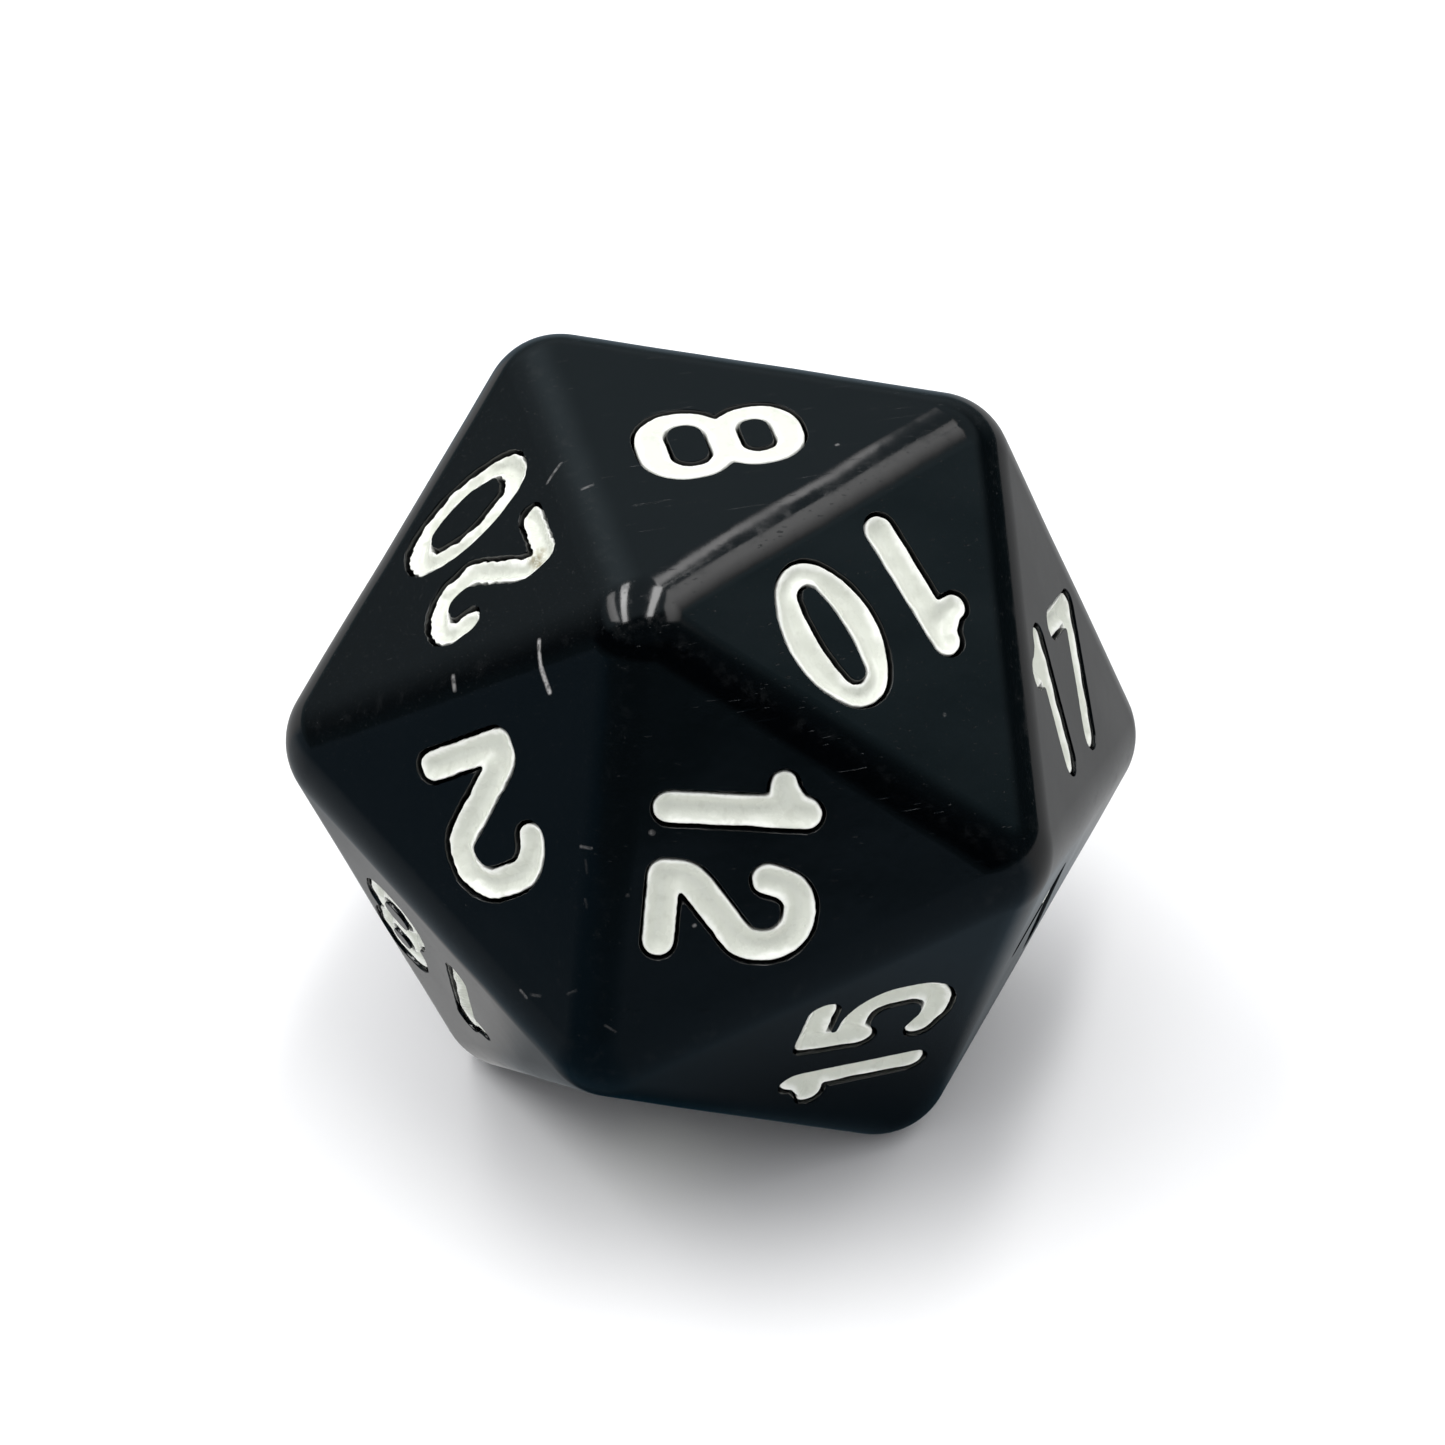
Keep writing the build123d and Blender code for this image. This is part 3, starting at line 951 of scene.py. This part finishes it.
ivory = paint_material()
for number in sorted(FACES):
    outer, faces, inward = pool(number, fields[number])
    # the paint follows the body's waves
    outer = outer - waves(outer)[0][:, None] * FACETS[number].out
    faces = outward_sides(outer, faces)
    fill = add_mesh(f"numeral_{number:02d}", outer, faces, "inward", inward)
    fill.data.materials.append(ivory)
    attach(fill, "root")
    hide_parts(f"number_{number:02d}_paint")


# ---------------------------------------------------------------- floor, light and camera
def direction(azimuth, elevation):
    """Unit vector, azimuth clockwise from +Y, both in degrees."""
    a, e = math.radians(azimuth), math.radians(elevation)
    return Vector((math.sin(a) * math.cos(e), math.cos(a) * math.cos(e), math.sin(e)))


PALE_CARD = (0.9, 0.9, 0.895, 1)
SHADED_CARD = (0.88, 0.88, 0.878, 1)


def floor_material():
    """Pale card.  To glossy rays it glows instead, with painted light and shadow of a dim studio
    table for the die to reflect: paler on both sides, dark in front.
    """
    m = Nodes("pale_card_painted_reflection")
    reach = m.node("VectorMath", operation="LENGTH")
    m.link(m.coordinates, reach.inputs[0])
    reach = m.math("MAXIMUM", reach.outputs["Value"], 0.001)

    def side(azimuth):
        """How nearly a place on the floor lies towards an azimuth, -1 to 1."""
        return m.math("DIVIDE", m.along(m.coordinates, direction(azimuth, 0)), reach)

    def times(a, b):
        return m.math("MULTIPLY", a, b)

    def larger(a, b):
        return m.math("MAXIMUM", a, b)

    # painted light of the table the die reflects, towards each side, by the distance from the die's
    # middle in m, with painted shadow close to the die
    front = m.span(side(150), 0.5, 1.0, 0.04, 0.125)
    front = times(front, m.span(reach, 0.008, 0.013, 0.15, 1.0))
    right = times(m.span(side(75), 0.35, 0.85), m.span(reach, 0.004, 0.0165, 0.04, 0.42))
    # painted shadow edge: where the die's shadow on the reflected table ends, about 12 mm out to
    # the left
    past_shadow = m.span(m.along(m.coordinates, direction(-95, 0)), 0.0115, 0.0135)
    close = m.span(side(-70), 0.8, 0.95, 0.19, 0.46)
    close = times(close, m.math("SUBTRACT", 1.0, past_shadow))
    open_left = times(m.span(side(-45), 0.3, 1.0, 0.12, 0.32), past_shadow)
    open_left = times(open_left, m.span(reach, 0.03, 0.10, 1.0, 0.40))
    left = times(m.span(side(-70), 0.42, 0.8), m.math("ADD", close, open_left))
    left = larger(left, m.span(side(-35), 0.85, 0.98, 0.0, 0.43))
    back = m.span(side(0), 0.5, 0.95, 0.0, 0.18)
    level = larger(larger(front, right), larger(left, back))
    # its dimmer parts, the painted shade, are a little bluer
    cool = times(m.span(level, 0.22, 0.42, 1.0, 0.12), m.span(reach, 0.009, 0.014, 0.25, 1.0))
    green, blue = (m.math("MULTIPLY_ADD", cool, more, level) for more in (0.05, 0.09))
    painted_table_light = m.colour(level, green, blue)
    tint = m.mix(m.noise(0.02, 3.0), PALE_CARD, SHADED_CARD)
    m.set(Base_Color=tint, Roughness=0.9)
    m.shader.inputs["Specular IOR Level"].default_value = 0.0
    # to glossy rays the floor is not lit: it glows with the painted table light and shadow
    glossy = m.node("LightPath").outputs["Is Glossy Ray"]
    surface = m.either(glossy, m.shader.outputs[0], m.glow("Emission", painted_table_light))
    m.link(surface, m.output.inputs["Surface"])
    m.material.cycles.emission_sampling = "NONE"
    return m.material


FLOOR_HALF = 1.2  # m
floor_mesh = bpy.data.meshes.new("floor")
floor_corners = [(-1, -1), (1, -1), (1, 1), (-1, 1)]
floor_mesh.from_pydata(
    [(x * FLOOR_HALF, y * FLOOR_HALF, 0) for x, y in floor_corners], [], [(0, 1, 2, 3)]
)
floor = bpy.data.objects.new("floor", floor_mesh)
bpy.context.scene.collection.objects.link(floor)
floor.data.materials.append(floor_material())

LAMP_HEIGHT = 0.5  # m, above the die's centre


def lamp(name, corners, radiances):
    """A glowing panel overhead.

    corners are places across and back from the die, as shares of the panel's height over it:
    the left side from back to front, then the right side from front to back.  radiances are
    how bright it is at each of them.
    """
    mesh = bpy.data.meshes.new(name)
    high = FACE_DISTANCE * MM + LAMP_HEIGHT
    spots = [(u * LAMP_HEIGHT, v * LAMP_HEIGHT, high) for u, v in corners]
    half = len(spots) // 2
    strips = [(i, i + 1, len(spots) - 2 - i, len(spots) - 1 - i) for i in range(half - 1)]
    mesh.from_pydata(spots, [], strips)
    glow = mesh.attributes.new("glow", "FLOAT", "POINT")
    glow.data.foreach_set("value", radiances)
    panel = bpy.data.objects.new(name, mesh)
    bpy.context.scene.collection.objects.link(panel)
    material = bpy.data.materials.new(name)
    material.use_nodes = True
    g = Graph(material.node_tree)
    strength = g.node("Attribute", attribute_name="glow").outputs["Fac"]
    g.link(g.glow("Emission", (1, 1, 1, 1), strength), g.node("OutputMaterial").inputs["Surface"])
    mesh.materials.append(material)
    panel.visible_camera = False


lamp(
    "lamp_left_tube",
    [(-0.40, 0.85), (-0.55, 0.3), (-0.80, -0.33), (-0.63, -0.35), (-0.38, 0.3), (-0.20, 0.85)],
    [7.0, 11.0, 8.0, 8.0, 11.0, 7.0],
)
lamp(
    "lamp_left_panel",
    [(-0.93, 0.95), (-1.22, -0.05), (-0.88, -0.25), (-0.63, 0.85)],
    [2.0, 2.0, 4.0, 3.5],
)
lamp(
    "lamp_right_tube",
    [(0.25, 0.45), (-0.10, -0.40), (0.04, -0.42), (0.45, 0.45)],
    [8.0, 9.0, 9.0, 8.0],
)
lamp(
    "lamp_back_strip",
    [(0.352, 1.20), (0.342, 0.92), (0.32, 0.42), (0.42, 0.42), (0.405, 0.92), (0.395, 1.20)],
    [0.6, 2.8, 4.6, 4.6, 2.8, 0.6],
)
lamp(
    "lamp_right_panel",
    [(0.62, 0.56), (0.54, 0.40), (0.36, -0.20), (0.46, -0.65)]
    + [(0.66, -0.65), (0.62, -0.15), (0.68, 0.30), (0.72, 0.44)],
    [0.5, 2.2, 2.1, 1.2, 1.2, 2.1, 2.2, 0.5],
)
lamp(
    "lamp_right_fringe",
    [(0.68, 0.30), (0.62, -0.15), (0.66, -0.65), (0.95, -0.65), (0.98, -0.15), (0.88, 0.20)],
    [2.2, 2.1, 1.2, 0.3, 0.3, 0.3],
)


ROOM_TINT = (0.78, 0.97, 1.06, 1)
COOL_TINT = (0.60, 1.0, 1.15, 1)
FILL_TINT = (0.98, 0.99, 1.03, 1)


def make_world():
    """White to the camera, an even soft fill for the paint, and a dim room for reflections."""
    world = bpy.data.worlds.new("studio")
    world.use_nodes = True
    g = Graph(world.node_tree)
    ray = g.node("TexCoord").outputs["Generated"]
    height = g.along(ray, (0, 0, 1))
    flat = g.node("VectorMath", operation="MULTIPLY")
    g.link(ray, flat.inputs[0])
    flat.inputs[1].default_value = (1, 1, 0)
    unit = g.node("VectorMath", operation="NORMALIZE")
    g.link(flat.outputs[0], unit.inputs[0])
    level_ray = unit.outputs[0]

    def glint(azimuth, elevation, sharpness, amount):
        """A soft round patch of light."""
        near = g.math("MAXIMUM", g.along(ray, direction(azimuth, elevation)), 0.0)
        return g.math("MULTIPLY", g.math("POWER", near, sharpness), amount)

    # the room: a pale wall at the back with a brighter patch on it, and the ceiling over it
    back_wall = g.span(g.along(level_ray, direction(-6, 0)), 0.0, 0.95, 0.0, 0.215)
    back_wall = g.math("MULTIPLY", back_wall, g.span(height, 0.04, 0.3, 0.45, 1.0))
    back_wall = g.math("ADD", back_wall, glint(-14, 34, 32, 0.24))
    ceiling = g.span(g.along(ray, (0, 1, 0.35)), -0.05, 0.12, 0.0, 0.25)
    ceiling = g.math("MULTIPLY", ceiling, g.span(height, 0.4, 0.6))
    room = g.math("MAXIMUM", back_wall, ceiling)
    # bluer and dimmer: the right wall with a patch, the horizon, and high up all round
    right_wall = g.span(g.along(level_ray, direction(100, 0)), 0.45, 0.95, 0.0, 0.05)
    horizon = g.span(height, 0.03, 0.17, 0.06, 0.0)
    upper = g.span(height, 0.42, 0.56, 0.0, 0.035)
    cool = g.math("MAXIMUM", g.math("MAXIMUM", right_wall, horizon), upper)
    cool = g.math("ADD", cool, glint(108, 41, 50, 0.15))
    both = g.node("AddShader")
    g.link(g.glow("Background", ROOM_TINT, room), both.inputs[0])
    g.link(g.glow("Background", COOL_TINT, cool), both.inputs[1])
    rays = g.node("LightPath")
    fill = g.glow("Background", FILL_TINT, g.span(height, 0.15, 1.0, 0.27, 1.30))
    unseen = g.either(rays.outputs["Is Glossy Ray"], fill, both.outputs[0])
    seen = g.glow("Background", (1, 1, 1, 1))
    surface = g.either(rays.outputs["Is Camera Ray"], unseen, seen)
    g.link(surface, g.node("OutputWorld").inputs["Surface"])
    world.cycles.sampling_method = "NONE"
    return world


bpy.context.scene.world = make_world()
bpy.context.scene.view_settings.view_transform = "Standard"

# the camera, where the reference view was taken from
CAMERA_AT = Vector((-27.148, -119.541, 107.764)) * MM
CAMERA_LOOK = Vector((0.17422, 0.76385, -0.62144)).normalized()
CAMERA_RIGHT = Vector((0.97185, -0.23502, -0.01642)).normalized()
SENSOR_WIDTH, LENS = 36, 143.142  # mm
camera = bpy.data.objects.new("camera", bpy.data.cameras.new("camera"))
bpy.context.scene.collection.objects.link(camera)
camera.data.sensor_width, camera.data.lens = SENSOR_WIDTH, LENS
camera.data.clip_start, camera.data.clip_end = 0.01, 10
camera_axes = Matrix((CAMERA_RIGHT, CAMERA_RIGHT.cross(CAMERA_LOOK), -CAMERA_LOOK)).transposed()
camera.matrix_world = Matrix.Translation(CAMERA_AT) @ camera_axes.to_4x4()
bpy.context.scene.camera = camera

# ---------------------------------------------------------------- done
bpy.context.view_layer.update()
